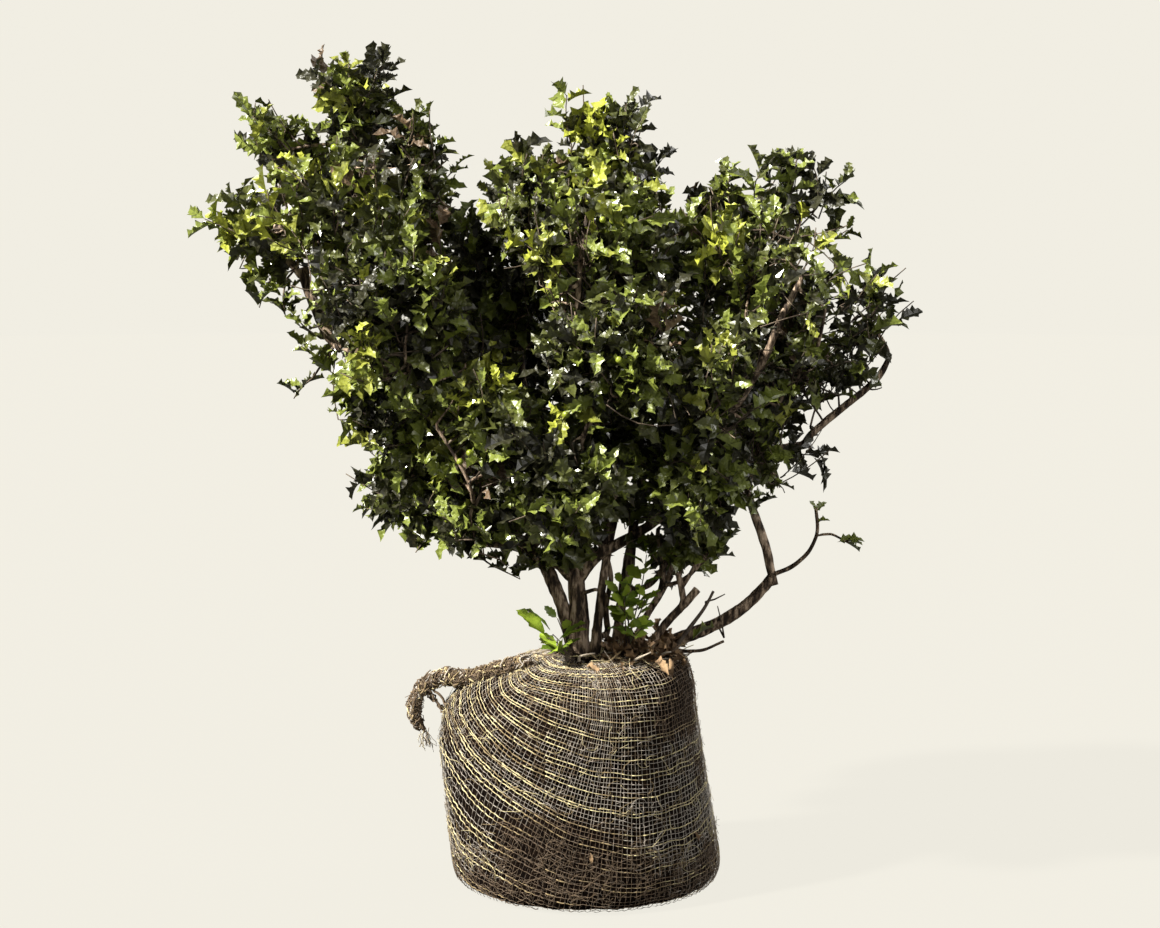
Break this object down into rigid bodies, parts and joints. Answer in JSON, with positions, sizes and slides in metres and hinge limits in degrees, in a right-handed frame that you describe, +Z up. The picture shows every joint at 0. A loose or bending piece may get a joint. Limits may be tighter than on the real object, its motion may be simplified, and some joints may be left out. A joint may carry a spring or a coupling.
{
  "type": "holly shrub with root ball",
  "caption": "Young multi-stemmed evergreen holly, dug with its soil ball and balled in open netting, with a full uneven crown.",
  "frame": {"origin": "middle of the flat underside of the root ball, which it stands on", "axes": "+Z up, along the stems; +X to the viewer's right and -Y towards the viewer, as the plant is faced in the picture"},
  "size_m": [0.8972, 0.6318, 1.0495],
  "materials": {
    "soil": "dark, damp, crumbling soil",
    "net": "coarse hairy jute threads, grey tan with straw yellow bands",
    "bark": "smooth grey brown bark with fine lenticels",
    "dead_bark": "dull dry bark",
    "leaf": "glossy dark green leaves with spined edges",
    "sprout": "fresh light green leaves"
  },
  "bodies": {
    "root": {"back_stem": "bark", "centre_back": "leaf", "centre_back_low": "leaf", "centre_back_top": "leaf", "centre_crest": "leaf", "centre_hem": "leaf", "centre_left": "leaf", "centre_low": "leaf", "centre_middle": "leaf", "centre_peak": "leaf", "centre_upper": "leaf", "cut_stem": "bark", "cut_stem_arm": "bark", "dead_twig": "dead_bark", "far_right_limb": "bark", "ground_twig": "bark", "heart": "leaf", "inner_stem": "bark", "left_back": "leaf", "left_back_skirt": "leaf", "left_back_top": "leaf", "left_bough": "bark", "left_crest": "leaf", "left_flank": "leaf", "left_hem": "leaf", "left_middle": "leaf", "left_peak": "leaf", "left_shoulder": "leaf", "left_skirt": "leaf", "left_skirt_limb": "bark", "left_sprig": "leaf", "left_sprout": "sprout", "left_stem": "bark", "left_tip": "leaf", "left_upper": "leaf", "low_bough": "bark", "low_bough_leaf_twig": "bark", "low_bough_rise": "bark", "low_bough_twig": "bark", "net_roll": "net", "net_sack": "net", "net_tail": "net", "right_back": "leaf", "right_back_skirt": "leaf", "right_back_top": "leaf", "right_flank": "leaf", "right_hem": "leaf", "right_inner_peak": "leaf", "right_middle": "leaf", "right_peak": "leaf", "right_side": "leaf", "right_skirt": "leaf", "right_sprout": "sprout", "right_stem": "bark", "right_tip": "leaf", "right_upper": "leaf", "soil_ball": "soil", "trunk": "bark"}
  },
  "joints": []
}
